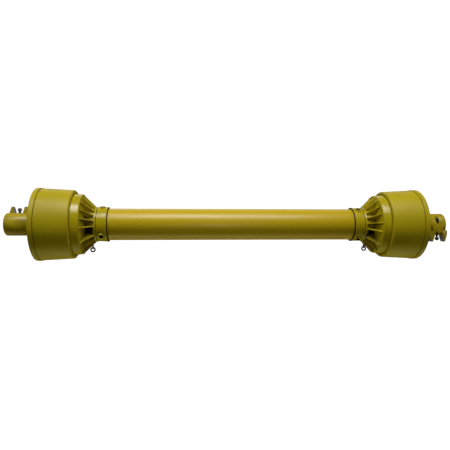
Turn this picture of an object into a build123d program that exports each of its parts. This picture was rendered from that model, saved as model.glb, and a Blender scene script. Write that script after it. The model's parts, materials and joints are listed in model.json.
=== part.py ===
from build123d import *

import math
import os

# Guarded drive shaft with a universal joint at each end, pushed fully together.
# X runs along the shaft, Z is up, and the origin is the middle of the axis.
# Lengths are in millimetres. Stations along the shaft are distances from its middle,
# and side is -1 for the left half and +1 for the right half.
# Angles round the shaft start at the front (-Y) and grow towards the top (+Z).

# Whole shaft
joint_x = 405.0  # joint centre; the two centres are 810 apart when closed
hub_end_x = 493.0  # outer face of the splined hubs

# Guard tubes
outer_tube_r = 35.0
outer_tube_bore_r = 33.0
outer_tube_free_x = 278.0
inner_tube_r = 32.6
inner_tube_bore_r = 30.6
inner_tube_free_x = 262.0
tube_seat_x = 296.5  # where both guard tubes end under their collars

# Collars and their screws
collar_inner_x = 273.5
collar_outer_x = 296.5
collar_r = 38.0
collar_outer_r = 37.2
collar_lip_r = 38.7
collar_lip_width = 2.5
collar_mouth_r = 36.2
collar_mouth_depth = 7.5
sleeve_end_x = 282.0  # end of the cone's sleeve under the collar
screw_x = 286.5
screw_pad_r = 7.5
screw_pad_top = 39.4
screw_recess_r = 4.8
screw_floor = 37.4
screw_head_r = 3.6
screw_head_top = 39.0
screw_shank_r = 1.8
screw_hole_r = 1.85
screw_tip = 31.2

# Ribbed cones
neck_r = 36.0
neck_bore_r = 33.4
neck_bottom_x = 299.5
neck_top_x = 320.0
cone_corner_x = 329.0
cone_corner_r = 66.0
band_r = 67.2
band_x = 345.0
cone_end_x = 352.0
cone_bead_x = 348.6
cone_bead_r = 68.2
cone_wall = 2.6
rib_thickness = 2.2
rib_foot_r = 38.2
rib_head_r = 64.5
rib_gap_angle = 18.5
window_gap_angle = 32.0
ribs_per_side = 9
window_width = 17.0
window_start_x = 305.0
window_end_x = 320.5

# Chain lugs and rings
lug_x = 308.0
lug_thickness = 2.2
lug_width = 9.0
lug_hole_at = 51.5
lug_hole_r = 2.4
lug_edge = 4.0
ring_r = 4.75
ring_wire_r = 1.3

# Bells
bell_foot_x = 345.6
bell_foot_bore_r = 67.3
bell_foot_r = 75.3
bell_step_x = 415.5
bell_step_r = 79.0
bell_rim_x = 426.0
bell_rim_r = 80.0
bell_wall = 2.5
bell_foot_round = 7.5

# Slide rings and the groove they run in
groove_x = 299.5
groove_width = 10.5
groove_r = 27.0
slide_ring_x = 300.0
slide_ring_width = 9.5
slide_ring_bore_r = 27.3
slide_ring_r = 33.35
slide_ring_split = 5.0

# Profile tubes: three lobes whose centres lie lobe_centre from the axis
lobe_centre = 12.0
outer_profile_r = 12.5
outer_profile_bore_r = 9.1
inner_profile_r = 8.75
inner_profile_bore_r = 5.55
profile_seat_x = 350.0
profile_free_x = 272.0
socket_gap = 0.05

# Inner yokes
yoke_neck_r = 29.0
yoke_neck_end_x = 290.0
roll_pin_x = 330.0
roll_pin_r = 4.0
roll_pin_bore_r = 2.4
roll_pin_length = 56.0
roll_pin_slit = 1.2

# Forks, measured from the joint centre
ear_r = 17.5
ear_face = 34.0
ear_inner_face = 18.5
throat_depth = 37.0
fork_root = 47.0
fork_arm_half = 15.5
fork_shoulder = 14.0  # where the blank starts to narrow
fork_blank_r = 38.4
fork_shoulder_round = 14.0

# Crosses and their bearings
trunnion_r = 7.6
trunnion_reach = 27.9
cross_core_r = 11.0
cross_core_reach = 13.5
cup_r = 11.9
cup_bore_r = 7.65
cup_start = 15.65
cup_end = 30.65
cup_bottom = 2.5
circlip_start = 30.75
circlip_thickness = 1.4
circlip_r = 12.8
circlip_bore_r = 9.4
circlip_groove_r = 12.9
seal_r = 10.2
seal_start = 13.7
seal_end = 15.35
nipple_r = 2.2
nipple_tip_r = 1.5
nipple_reach = 19.0
nipple_tip_length = 2.0
nipple_seat = 1.5
nipple_angle = 135.0

# Outer yokes: splined hub, push pin and fins
hub_r = 24.8
spline_minor_r = 14.95
spline_major_r = 17.6
spline_width = 8.75
spline_count = 6
spline_end_x = 447.0  # the splines run out into a relief bored from the fork
relief_r = 18.0
mouth_r = 16.2
pin_x = 472.5
pin_offset = 20.0  # pin axis beside the shaft axis
pin_body_r = 4.95
pin_hole_r = 5.0
pin_neck_r = 2.2
pin_neck_hole_r = 2.5
pin_tail = -14.0
pin_shoulder = -1.4
pin_hole_shoulder = -1.2
spring_seat = 6.0
spring_hole_r = 3.7
spring_r = 3.35
spring_bore_r = 2.4
spring_top = 27.9
boss_floor = 19.0
boss_ledge = -1.0
boss_half_width = 11.0
boss_r = 8.5
head_r = 4.6
head_centre = 32.2
fin_spacing = 28.4
fin_base = 19.0
fin_tip = 39.4
fin_tip_width = 2.4
fin_tip_round = 0.9
fin_foot_height = 13.0
fin_thickness = 15.0

# How far each half's guard and yoke are turned about the axis
window_angle = {-1: -23.0, 1: -31.5}
first_screw_angle = {-1: -42.7, 1: 60.0}
lug_angle = {-1: -85.25, 1: -93.75}

os.makedirs("parts", exist_ok=True)


def outward(angle):
    """Unit vector from the shaft's axis at an angle round it."""
    turn = math.radians(angle)
    return Vector(0, -math.cos(turn), math.sin(turn))


def radial_plane(x, angle, radius):
    """Plane that faces outwards from the axis, with its own X along the shaft."""
    return Plane(origin=Vector(x, 0, 0) + outward(angle) * radius, x_dir=(1, 0, 0), z_dir=outward(angle))


def axial_plane(x, angle):
    """Plane across the shaft whose own X points outwards at an angle."""
    return Plane(origin=(x, 0, 0), x_dir=outward(angle), z_dir=(1, 0, 0))


def turned_profile(side, corners):
    """Closed profile of (station, radius) corners, ready to be turned about the shaft."""
    with BuildSketch(Plane.XZ) as profile:
        with BuildLine():
            Polyline(*[(side * x, radius) for x, radius in corners], close=True)
        make_face()
    return profile.sketch


def lobed_profile(plane, lobe_r):
    """Three-lobed outline: a triangle grown by the lobe radius."""
    with BuildSketch(plane) as outline:
        RegularPolygon(radius=lobe_centre, side_count=3)
        offset(amount=lobe_r, kind=Kind.ARC)
    return outline.sketch


def save(part, name):
    """Labels a finished piece and writes it as its own STEP file."""
    part.label = name
    export_step(part, f"parts/{name}.step")


# Guard tubes --------------------------------------------------------------------

with BuildPart() as outer_guard_tube:
    with BuildSketch(Plane.YZ.offset(-tube_seat_x)):
        Circle(outer_tube_r)
        Circle(outer_tube_bore_r, mode=Mode.SUBTRACT)
    extrude(amount=tube_seat_x + outer_tube_free_x)
    for turn in range(3):
        with BuildSketch(radial_plane(-screw_x, first_screw_angle[-1] + 120 * turn, 0)):
            Circle(screw_hole_r)
        extrude(amount=outer_tube_r + 1, mode=Mode.SUBTRACT)
save(outer_guard_tube.part, "outer_guard_tube")

with BuildPart() as inner_guard_tube:
    with BuildSketch(Plane.YZ.offset(-inner_tube_free_x)):
        Circle(inner_tube_r)
        Circle(inner_tube_bore_r, mode=Mode.SUBTRACT)
    extrude(amount=inner_tube_free_x + tube_seat_x)
    for turn in range(3):
        with BuildSketch(radial_plane(screw_x, first_screw_angle[1] + 120 * turn, 0)):
            Circle(screw_hole_r)
        extrude(amount=inner_tube_r + 1, mode=Mode.SUBTRACT)
save(inner_guard_tube.part, "inner_guard_tube")


# Guard cones, bells and collars ---------------------------------------------------

def sleeve_radii(side):
    """Bore and outside of the cone's sleeve: inside the left tube, over the right one."""
    if side < 0:
        return outer_tube_bore_r - 2.0, outer_tube_bore_r
    return inner_tube_r, inner_tube_r + 2.0


def rib_angles(side):
    """Angles of the ribs: two groups, with a wide gap at each window."""
    angles = []
    for window in (window_angle[side], window_angle[side] + 180):
        first = window + window_gap_angle / 2
        angles += [first + rib_gap_angle * step for step in range(ribs_per_side)]
    return angles


def make_cone(side, name):
    """Cone: sleeve, neck with two windows, steep wall, band and eighteen ribs."""
    sleeve_bore_r, sleeve_r = sleeve_radii(side)
    outside = [
        (sleeve_end_x, sleeve_bore_r),
        (sleeve_end_x, sleeve_r),
        (tube_seat_x, sleeve_r),
        (tube_seat_x, neck_r),
        (neck_top_x, neck_r),
        (cone_corner_x - 1.5, cone_corner_r - 1.5),
        (cone_corner_x, cone_corner_r),
        (band_x, band_r),
        (cone_bead_x, band_r),
        (cone_bead_x, cone_bead_r),
        (cone_end_x, cone_bead_r - 0.6),
    ]
    inside = [
        (cone_end_x, band_r - cone_wall),
        (cone_corner_x + 2.2, cone_corner_r - cone_wall),
        (neck_top_x + 2.4, neck_bore_r + 0.8),
        (neck_top_x + 2.0, neck_bore_r),
        (neck_bottom_x, neck_bore_r),
        (neck_bottom_x, sleeve_bore_r),
    ]
    with BuildPart() as cone:
        revolve(turned_profile(side, outside + inside), axis=Axis.X)
        for angle in rib_angles(side):
            along = outward(angle)
            with BuildSketch(Plane(origin=(0, 0, 0), x_dir=(1, 0, 0), z_dir=Vector(1, 0, 0).cross(along))):
                with BuildLine():
                    Polyline(
                        (side * (tube_seat_x + 0.3), neck_r - 1),
                        (side * (tube_seat_x + 0.3), rib_foot_r),
                        (side * (cone_corner_x - 1.2), rib_head_r),
                        (side * (cone_corner_x - 1.0), rib_head_r - 2.5),
                        (side * (neck_top_x + 1.2), neck_r - 1),
                        close=True,
                    )
                make_face()
            extrude(amount=rib_thickness / 2, both=True)
        for angle in (window_angle[side], window_angle[side] + 180):
            middle = side * (window_start_x + window_end_x) / 2
            with BuildSketch(radial_plane(middle, angle, neck_bore_r - 6)):
                RectangleRounded(window_end_x - window_start_x, window_width, 1.5)
            extrude(amount=12, mode=Mode.SUBTRACT)
        with BuildSketch(axial_plane(side * lug_x, lug_angle[side])):
            with Locations(((neck_r + lug_hole_at) / 2 - 0.5, 0)):
                Rectangle(lug_hole_at - neck_r + 1, lug_width)
            with Locations((lug_hole_at, 0)):
                Circle(lug_edge)
                Circle(lug_hole_r, mode=Mode.SUBTRACT)
        extrude(amount=lug_thickness / 2, both=True)
        for turn in range(3):
            with BuildSketch(radial_plane(side * screw_x, first_screw_angle[side] + 120 * turn, 0)):
                Circle(screw_hole_r)
            extrude(amount=neck_r, mode=Mode.SUBTRACT)
    save(cone.part, f"{name}_cone")


def make_bell(side, name):
    """Bell: rounded foot, drafted wall, and a stepped band at the rim."""
    with BuildPart() as bell:
        with BuildSketch(Plane.XZ) as section:
            with BuildLine():
                Polyline(
                    (side * bell_foot_x, bell_foot_bore_r),
                    (side * bell_foot_x, bell_foot_r),
                    (side * bell_step_x, bell_step_r),
                    (side * bell_step_x, bell_rim_r),
                    (side * bell_rim_x, bell_rim_r),
                    (side * bell_rim_x, bell_rim_r - bell_wall),
                    (side * bell_step_x, bell_step_r - bell_wall),
                    (side * (bell_foot_x + bell_wall), bell_foot_r - bell_wall),
                    (side * (bell_foot_x + bell_wall), bell_foot_bore_r),
                    close=True,
                )
            make_face()
            foot = section.vertices().filter_by(lambda v: abs(v.Z - bell_foot_r) < 0.01)
            fillet(foot, bell_foot_round)
            heel = section.vertices().filter_by(lambda v: abs(v.Z - bell_foot_r + bell_wall) < 0.01)
            fillet(heel, bell_foot_round - bell_wall)
        revolve(axis=Axis.X)
    save(bell.part, f"{name}_bell")


def make_collar(side, name):
    """Collar: a lipped ring with three screw pads."""
    sleeve_or_tube_r = outer_tube_r if side < 0 else inner_tube_r + 2.0
    mouth_r = outer_tube_r if side < 0 else collar_mouth_r
    mouth_end_x = collar_inner_x + collar_mouth_depth
    section = [
        (collar_inner_x, mouth_r),
        (collar_inner_x, collar_lip_r),
        (collar_inner_x + collar_lip_width, collar_lip_r),
        (collar_inner_x + collar_lip_width + 0.7, collar_r),
        (collar_outer_x, collar_outer_r),
        (collar_outer_x, sleeve_or_tube_r),
    ]
    if side > 0:
        section += [(mouth_end_x, sleeve_or_tube_r), (mouth_end_x, mouth_r)]
    with BuildPart() as collar:
        revolve(turned_profile(side, section), axis=Axis.X)
        for turn in range(3):
            angle = first_screw_angle[side] + 120 * turn
            with BuildSketch(radial_plane(side * screw_x, angle, screw_floor - 1.5)):
                Circle(screw_pad_r)
            extrude(amount=screw_pad_top - screw_floor + 1.5)
            with BuildSketch(radial_plane(side * screw_x, angle, screw_floor)):
                Circle(screw_recess_r)
            extrude(amount=3, mode=Mode.SUBTRACT)
            with BuildSketch(radial_plane(side * screw_x, angle, 0)):
                Circle(screw_hole_r)
            extrude(amount=screw_pad_top, mode=Mode.SUBTRACT)
    save(collar.part, f"{name}_collar")


def make_collar_screws(side, name):
    """Three self-tapping screws with domed heads."""
    with BuildPart() as screws:
        for turn in range(3):
            angle = first_screw_angle[side] + 120 * turn
            with BuildSketch(radial_plane(side * screw_x, angle, screw_tip)):
                Circle(screw_shank_r)
            extrude(amount=screw_floor - screw_tip)
            with BuildSketch(radial_plane(side * screw_x, angle, screw_floor)):
                Circle(screw_head_r)
            extrude(amount=screw_head_top - screw_floor, taper=12)
    save(screws.part, f"{name}_collar_screws")


def make_slide_ring(side, name):
    """Split plastic ring that runs in the inner yoke's groove."""
    section = [
        (slide_ring_x, slide_ring_bore_r),
        (slide_ring_x, slide_ring_r),
        (slide_ring_x + slide_ring_width, slide_ring_r),
        (slide_ring_x + slide_ring_width, slide_ring_bore_r),
    ]
    with BuildPart() as slide_ring:
        revolve(turned_profile(side, section), axis=Axis.X)
        with BuildSketch(radial_plane(side * (slide_ring_x + slide_ring_width / 2), 90, 0)):
            Rectangle(slide_ring_width + 2, slide_ring_split)
        extrude(amount=slide_ring_r + 1, mode=Mode.SUBTRACT)
    save(slide_ring.part, f"{name}_slide_ring")


def make_chain_ring(side, name):
    """First ring of the retaining chain, hanging through the cone's lug."""
    middle = Vector(side * lug_x, 0, 0) + outward(lug_angle[side]) * (lug_hole_at + ring_r)
    across = Vector(1, 0, 0).cross(outward(lug_angle[side]))
    with BuildPart() as chain_ring:
        in_hole = middle - outward(lug_angle[side]) * ring_r
        with BuildSketch(Plane(origin=in_hole, x_dir=outward(lug_angle[side]), z_dir=(1, 0, 0))):
            Circle(ring_wire_r)
        revolve(axis=Axis(middle, across))
    save(chain_ring.part, f"{name}_chain_ring")


# Forks -----------------------------------------------------------------------------

def fork_side(plane, centre_x, reach):
    """Outline seen along the ear bores: a round boss on a straight arm."""
    with BuildSketch(plane) as outline:
        with Locations((centre_x, 0)):
            Circle(ear_r)
        with Locations((centre_x + reach * fork_root / 2, 0)):
            Rectangle(fork_root, 2 * fork_arm_half)
    return outline.sketch


def fork_blank(side, outwards, root_r):
    """Turned blank the fork is cut from: full at the ears, drawn in to the root.

    outwards is 1 for a fork whose root is on the shaft's end side, -1 for the other.
    """
    corners = [
        (-ear_r - 2, 0),
        (-ear_r - 2, fork_blank_r),
        (fork_shoulder, fork_blank_r),
        (fork_root, root_r),
        (fork_root, 0),
    ]
    return turned_profile(side, [(joint_x + outwards * along, radius) for along, radius in corners])


def fork_front(plane, centre_x, reach, root_r):
    """Outline seen across the ears: full height at the bores, drawn in to the root."""
    with BuildSketch(plane) as outline:
        with BuildLine():
            Polyline(
                (centre_x - reach * (ear_r + 1), ear_face),
                (centre_x + reach * 16, ear_face),
                (centre_x + reach * fork_root, root_r),
                (centre_x + reach * fork_root, -root_r),
                (centre_x + reach * 16, -ear_face),
                (centre_x - reach * (ear_r + 1), -ear_face),
                close=True,
            )
        make_face()
        shoulders = outline.vertices().filter_by(lambda v: abs(v.X - centre_x - reach * 16) < 0.01)
        fillet(shoulders, fork_shoulder_round)
    return outline.sketch


def throat(plane, centre_x, reach):
    """Gap between the ears, with a round end."""
    with BuildSketch(plane) as outline:
        length = throat_depth - ear_inner_face + ear_r + 2
        middle = centre_x + reach * (throat_depth - ear_inner_face - length / 2)
        with Locations((middle, 0)):
            Rectangle(length, 2 * ear_inner_face)
        with Locations((centre_x + reach * (throat_depth - ear_inner_face), 0)):
            Circle(ear_inner_face)
    return outline.sketch


def ear_cylinder(centre_x, ears, start, end, radius):
    """Disc along the ear bores, from one distance to another beside the joint centre."""
    along = Vector(0, 1, 0) if ears == "Y" else Vector(0, 0, 1)
    with BuildSketch(Plane(origin=Vector(centre_x, 0, 0) + along * start, z_dir=along)) as disc:
        Circle(radius)
    return extrude(disc.sketch, amount=end - start, mode=Mode.PRIVATE)


def make_inner_yoke(side, name, profile_r):
    """Inner yoke: fork with ears along Y, grooved neck and a lobed socket."""
    centre_x = side * joint_x
    reach = -side
    with BuildPart() as yoke:
        extrude(fork_side(Plane.XZ, centre_x, reach), amount=ear_face, both=True)
        front = fork_front(Plane.XY, centre_x, reach, yoke_neck_r - 1)
        extrude(front, amount=ear_face, both=True, mode=Mode.INTERSECT)
        revolve(fork_blank(side, -1, yoke_neck_r - 1), axis=Axis.X, mode=Mode.INTERSECT)
        extrude(throat(Plane.XY, centre_x, reach), amount=ear_face, both=True, mode=Mode.SUBTRACT)
        neck = [
            (joint_x - throat_depth - 3, 0),
            (joint_x - throat_depth - 3, yoke_neck_r - 3),
            (joint_x - throat_depth - 6, yoke_neck_r),
            (groove_x + groove_width, yoke_neck_r),
            (groove_x + groove_width, groove_r),
            (groove_x, groove_r),
            (groove_x, yoke_neck_r),
            (yoke_neck_end_x + 1.5, yoke_neck_r),
            (yoke_neck_end_x, yoke_neck_r - 1.5),
            (yoke_neck_end_x, 0),
        ]
        revolve(turned_profile(side, neck), axis=Axis.X)
        socket = lobed_profile(Plane.YZ.offset(side * (yoke_neck_end_x - 1)), profile_r + socket_gap)
        extrude(socket, amount=side * (profile_seat_x - yoke_neck_end_x + 1), mode=Mode.SUBTRACT)
        with BuildSketch(Plane.XY):
            with Locations((side * roll_pin_x, 0)):
                Circle(roll_pin_r)
        extrude(amount=yoke_neck_r + 1, both=True, mode=Mode.SUBTRACT)
        add(ear_cylinder(centre_x, "Y", -ear_face - 1, ear_face + 1, cup_r), mode=Mode.SUBTRACT)
        for flip in (-1, 1):
            start = flip * circlip_start
            end = flip * (circlip_start + circlip_thickness + 0.1)
            add(ear_cylinder(centre_x, "Y", start, end, circlip_groove_r), mode=Mode.SUBTRACT)
    save(yoke.part, f"{name}_inner_yoke")


def make_outer_yoke(side, name):
    """Outer yoke: fork with ears along Z, splined hub, pin boss and two fins.

    The pin lies beside the bore and stands up behind the left hub;
    on the right it hangs down in front of the hub.
    """
    centre_x = side * joint_x
    reach = side
    up = -side
    pin_y = -side * pin_offset
    with BuildPart() as yoke:
        extrude(fork_side(Plane.XY, centre_x, reach), amount=ear_face, both=True)
        front = fork_front(Plane.XZ, centre_x, reach, hub_r - 1)
        extrude(front, amount=ear_face, both=True, mode=Mode.INTERSECT)
        revolve(fork_blank(side, 1, hub_r - 1), axis=Axis.X, mode=Mode.INTERSECT)
        hub = [
            (joint_x + throat_depth - 8, 0),
            (joint_x + throat_depth - 8, hub_r - 3),
            (joint_x + throat_depth - 5, hub_r),
            (hub_end_x - 1.5, hub_r),
            (hub_end_x, hub_r - 1.5),
            (hub_end_x, 0),
        ]
        revolve(turned_profile(side, hub), axis=Axis.X)
        extrude(throat(Plane.XZ, centre_x, reach), amount=ear_face, both=True, mode=Mode.SUBTRACT)
        with BuildSketch(Plane.XY.offset(up * boss_ledge)):
            with Locations((side * pin_x, pin_y / 2)):
                Rectangle(2 * boss_half_width, pin_offset)
            with Locations((side * pin_x, pin_y)):
                RectangleRounded(2 * boss_half_width, 2 * boss_r, 4)
        extrude(amount=up * (boss_floor - boss_ledge))
        for place in (-0.5, 0.5):
            middle = side * pin_x + place * fin_spacing
            with BuildSketch(Plane.XZ.offset(-pin_y)) as fin:
                with BuildLine():
                    Polyline(
                        (middle - fin_base / 2, up * fin_foot_height),
                        (middle - fin_tip_width / 2, up * fin_tip),
                        (middle + fin_tip_width / 2, up * fin_tip),
                        (middle + fin_base / 2, up * fin_foot_height),
                        close=True,
                    )
                make_face()
                tip = fin.vertices().filter_by(lambda v: abs(abs(v.Z) - fin_tip) < 0.01)
                fillet(tip, fin_tip_round)
            extrude(amount=fin_thickness / 2, both=True)
        with BuildSketch(Plane.YZ.offset(side * hub_end_x)):
            Circle(60)
        extrude(amount=side * 10, mode=Mode.SUBTRACT)
        with BuildSketch(Plane.YZ.offset(side * (hub_end_x + 1))):
            Circle(spline_minor_r)
            with PolarLocations(spline_major_r / 2, spline_count):
                Rectangle(spline_major_r, spline_width)
        extrude(amount=-side * (hub_end_x + 1 - spline_end_x), mode=Mode.SUBTRACT)
        bore_ends = [
            (joint_x + ear_r, 0),
            (joint_x + ear_r, relief_r),
            (spline_end_x, relief_r),
            (spline_end_x, 0),
        ]
        revolve(turned_profile(side, bore_ends), axis=Axis.X, mode=Mode.SUBTRACT)
        mouth = [
            (hub_end_x - mouth_r + spline_minor_r, 0),
            (hub_end_x - mouth_r + spline_minor_r, spline_minor_r),
            (hub_end_x + 1, mouth_r + 1),
            (hub_end_x + 1, 0),
        ]
        revolve(turned_profile(side, mouth), axis=Axis.X, mode=Mode.SUBTRACT)
        for start, end, radius in (
            (-hub_r, pin_hole_shoulder, pin_hole_r),
            (pin_hole_shoulder - 1, boss_floor + 1, pin_neck_hole_r),
            (spring_seat, boss_floor + 1, spring_hole_r),
        ):
            with BuildSketch(Plane.XY.offset(up * start)):
                with Locations((side * pin_x, pin_y)):
                    Circle(radius)
            extrude(amount=up * (end - start), mode=Mode.SUBTRACT)
        add(ear_cylinder(centre_x, "Z", -ear_face - 1, ear_face + 1, cup_r), mode=Mode.SUBTRACT)
        for flip in (-1, 1):
            start = flip * circlip_start
            end = flip * (circlip_start + circlip_thickness + 0.1)
            add(ear_cylinder(centre_x, "Z", start, end, circlip_groove_r), mode=Mode.SUBTRACT)
    save(yoke.part, f"{name}_outer_yoke")


# Small parts of each joint -------------------------------------------------------------

def make_cups(side, name, ears):
    """Two bearing cups; each wall takes in its row of needles."""
    centre_x = side * joint_x
    along = Vector(0, 1, 0) if ears == "Y" else Vector(0, 0, 1)
    with BuildPart() as cups:
        for flip in (-1, 1):
            start = Vector(centre_x, 0, 0) + along * flip * cup_start
            with BuildSketch(Plane(origin=start, z_dir=along * flip)):
                Circle(cup_r)
            extrude(amount=cup_end - cup_start)
            with BuildSketch(Plane(origin=start, z_dir=along * flip)):
                Circle(cup_bore_r)
            extrude(amount=cup_end - cup_start - cup_bottom, mode=Mode.SUBTRACT)
    save(cups.part, name)


def make_circlips(side, name, ears):
    """Two circlips that hold the cups in the ears."""
    centre_x = side * joint_x
    along = Vector(0, 1, 0) if ears == "Y" else Vector(0, 0, 1)
    with BuildPart() as circlips:
        for flip in (-1, 1):
            start = Vector(centre_x, 0, 0) + along * flip * circlip_start
            with BuildSketch(Plane(origin=start, x_dir=(1, 0, 0), z_dir=along * flip)):
                Circle(circlip_r)
                Circle(circlip_bore_r, mode=Mode.SUBTRACT)
                with Locations((circlip_r - 1, 0)):
                    Rectangle(circlip_r, 7, mode=Mode.SUBTRACT)
            extrude(amount=circlip_thickness)
    save(circlips.part, name)


def make_cross(side, name):
    """Cross: a forged core with four ground trunnions."""
    centre_x = side * joint_x
    with BuildPart() as cross:
        for ears in ("Y", "Z"):
            add(ear_cylinder(centre_x, ears, -trunnion_reach, trunnion_reach, trunnion_r))
            add(ear_cylinder(centre_x, ears, -cross_core_reach, cross_core_reach, cross_core_r))
        with BuildSketch(radial_plane(centre_x, nipple_angle, cross_core_r * math.sqrt(2) - nipple_seat)):
            Circle(nipple_r)
        extrude(amount=nipple_reach, mode=Mode.SUBTRACT)
    save(cross.part, f"{name}_cross")


def make_seals(side, name):
    """Four lip seals at the roots of the trunnions."""
    centre_x = side * joint_x
    with BuildPart() as seals:
        for along in (Vector(0, 1, 0), Vector(0, -1, 0), Vector(0, 0, 1), Vector(0, 0, -1)):
            with BuildSketch(Plane(origin=Vector(centre_x, 0, 0) + along * seal_start, z_dir=along)):
                Circle(seal_r)
                Circle(trunnion_r, mode=Mode.SUBTRACT)
            extrude(amount=seal_end - seal_start)
    save(seals.part, f"{name}_trunnion_seals")


def make_nipple(side, name):
    """Grease nipple in the cross's core, pointing between two trunnions."""
    centre_x = side * joint_x
    core_corner = cross_core_r * math.sqrt(2)
    seat = radial_plane(centre_x, nipple_angle, core_corner - nipple_seat)
    shoulder = radial_plane(centre_x, nipple_angle, nipple_reach - nipple_tip_length)
    with BuildPart() as nipple:
        with BuildSketch(seat):
            Circle(nipple_r)
        extrude(amount=nipple_reach - nipple_tip_length - core_corner + nipple_seat)
        with BuildSketch(shoulder):
            Circle(nipple_tip_r)
        extrude(amount=nipple_tip_length)
    save(nipple.part, f"{name}_grease_nipple")


def make_profile_tube(side, name, lobe_r, bore_r):
    """Lobed tube that carries the torque, with the roll pin's cross hole."""
    with BuildPart() as tube:
        start = side * profile_seat_x
        length = profile_seat_x + profile_free_x
        extrude(lobed_profile(Plane.YZ.offset(start), lobe_r), amount=-side * length)
        bore = lobed_profile(Plane.YZ.offset(start), bore_r)
        extrude(bore, amount=-side * length, mode=Mode.SUBTRACT)
        with BuildSketch(Plane.XY):
            with Locations((side * roll_pin_x, 0)):
                Circle(roll_pin_r)
        extrude(amount=yoke_neck_r, both=True, mode=Mode.SUBTRACT)
    save(tube.part, name)


def make_roll_pin(side, name):
    """Slotted spring pin through the inner yoke and its tube."""
    with BuildPart() as roll_pin:
        with BuildSketch(Plane.XY):
            with Locations((side * roll_pin_x, 0)):
                Circle(roll_pin_r)
                Circle(roll_pin_bore_r, mode=Mode.SUBTRACT)
            with Locations((side * (roll_pin_x + roll_pin_r), 0)):
                Rectangle(2 * roll_pin_r - 1, roll_pin_slit, mode=Mode.SUBTRACT)
        extrude(amount=roll_pin_length / 2, both=True)
    save(roll_pin.part, f"{name}_roll_pin")


def pin_place(side, height):
    """Plane across the push pin at a height, facing its head."""
    origin = (side * pin_x, -side * pin_offset, -side * height)
    return Plane(origin=origin, x_dir=(1, 0, 0), z_dir=(0, 0, -side))


def make_push_pin(side, name):
    """Push pin: locking body, slim neck, and a ball-shaped head pressed on the neck."""
    neck_top = head_centre - 2.0
    with BuildPart() as push_pin:
        with BuildSketch(pin_place(side, pin_tail)):
            Circle(pin_body_r)
        extrude(amount=pin_shoulder - pin_tail)
        chamfer(push_pin.edges().sort_by(Axis.Z)[-1 if side > 0 else 0], 1)
        with BuildSketch(pin_place(side, pin_shoulder)):
            Circle(pin_neck_r)
        extrude(amount=neck_top - pin_shoulder)
    save(push_pin.part, f"{name}_push_pin")
    with BuildPart() as head:
        with Locations(pin_place(side, head_centre)):
            Sphere(head_r)
        with BuildSketch(pin_place(side, pin_shoulder)):
            Circle(pin_neck_r)
        extrude(amount=neck_top - pin_shoulder, mode=Mode.SUBTRACT)
    save(head.part, f"{name}_pin_head")


def make_pin_spring(side, name):
    """Envelope of the coil spring round the push pin's neck."""
    with BuildPart() as spring:
        with BuildSketch(pin_place(side, spring_seat)):
            Circle(spring_r)
            Circle(spring_bore_r, mode=Mode.SUBTRACT)
        extrude(amount=spring_top - spring_seat)
    save(spring.part, f"{name}_pin_spring")


for side, name in ((-1, "left"), (1, "right")):
    make_cone(side, name)
    make_bell(side, name)
    make_collar(side, name)
    make_collar_screws(side, name)
    make_slide_ring(side, name)
    make_chain_ring(side, name)
    make_outer_yoke(side, name)
    make_cups(side, f"{name}_inner_cups", "Y")
    make_cups(side, f"{name}_outer_cups", "Z")
    make_circlips(side, f"{name}_inner_circlips", "Y")
    make_circlips(side, f"{name}_outer_circlips", "Z")
    make_cross(side, name)
    make_seals(side, name)
    make_nipple(side, name)
    make_roll_pin(side, name)
    make_push_pin(side, name)
    make_pin_spring(side, name)

make_inner_yoke(-1, "left", outer_profile_r)
make_inner_yoke(1, "right", inner_profile_r)
make_profile_tube(-1, "outer_profile_tube", outer_profile_r, outer_profile_bore_r)
make_profile_tube(1, "inner_profile_tube", inner_profile_r, inner_profile_bore_r)
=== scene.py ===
# %% [markdown]
# # A guarded drive shaft, dressed around its CAD frame
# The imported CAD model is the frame: it fixes every size and place. This notebook keeps it
# as it is and builds the visible skin around it: moulded guards, enamelled yokes, ground
# steel and black springs. The frame comes first, because everything below is measured
# from it.

import json
import math

import bmesh
import bpy
import numpy as np
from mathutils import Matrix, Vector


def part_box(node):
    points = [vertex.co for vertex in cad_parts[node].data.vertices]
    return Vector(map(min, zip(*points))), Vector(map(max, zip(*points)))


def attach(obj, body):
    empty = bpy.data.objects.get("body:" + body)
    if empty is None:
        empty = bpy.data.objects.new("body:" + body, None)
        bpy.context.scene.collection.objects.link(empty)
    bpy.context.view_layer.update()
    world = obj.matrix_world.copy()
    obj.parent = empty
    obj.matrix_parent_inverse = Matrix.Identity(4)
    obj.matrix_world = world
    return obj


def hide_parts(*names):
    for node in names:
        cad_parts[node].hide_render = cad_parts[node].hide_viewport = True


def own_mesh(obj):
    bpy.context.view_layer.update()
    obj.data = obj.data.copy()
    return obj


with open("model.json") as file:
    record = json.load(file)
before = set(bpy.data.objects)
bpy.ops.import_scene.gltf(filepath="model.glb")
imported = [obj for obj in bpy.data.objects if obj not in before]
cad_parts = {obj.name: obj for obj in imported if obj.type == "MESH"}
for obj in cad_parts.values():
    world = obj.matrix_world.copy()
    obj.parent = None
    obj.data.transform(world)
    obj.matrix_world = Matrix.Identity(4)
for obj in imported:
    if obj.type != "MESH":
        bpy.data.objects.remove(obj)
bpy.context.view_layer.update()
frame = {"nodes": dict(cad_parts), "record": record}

MM = 0.001
SIDES = {"left": -1, "right": 1}


def top(node):
    """Highest point of a CAD node's box above the shaft's axis, in metres."""
    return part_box(node)[1][2]


# %% [markdown]
# ## Stage
# The shaft is shown as in a parts catalogue: straight on, against white, with one large
# soft light from above and in front. The camera stands just over a metre away and a little
# to the left of the middle, turned so that the whole length fits. A floor that curves up
# into a wall has no horizon line. The board glows, a little more behind the shaft, but it
# lights nothing itself: the white around the shaft and the light on it are set apart.

# %% Camera
CAMERA_PLACE = (-0.1034, -1.0636, -0.0014)
CAMERA_YAW = math.radians(-4.70)
LENS_MM = 37.72
SENSOR_MM = 36.0

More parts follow.
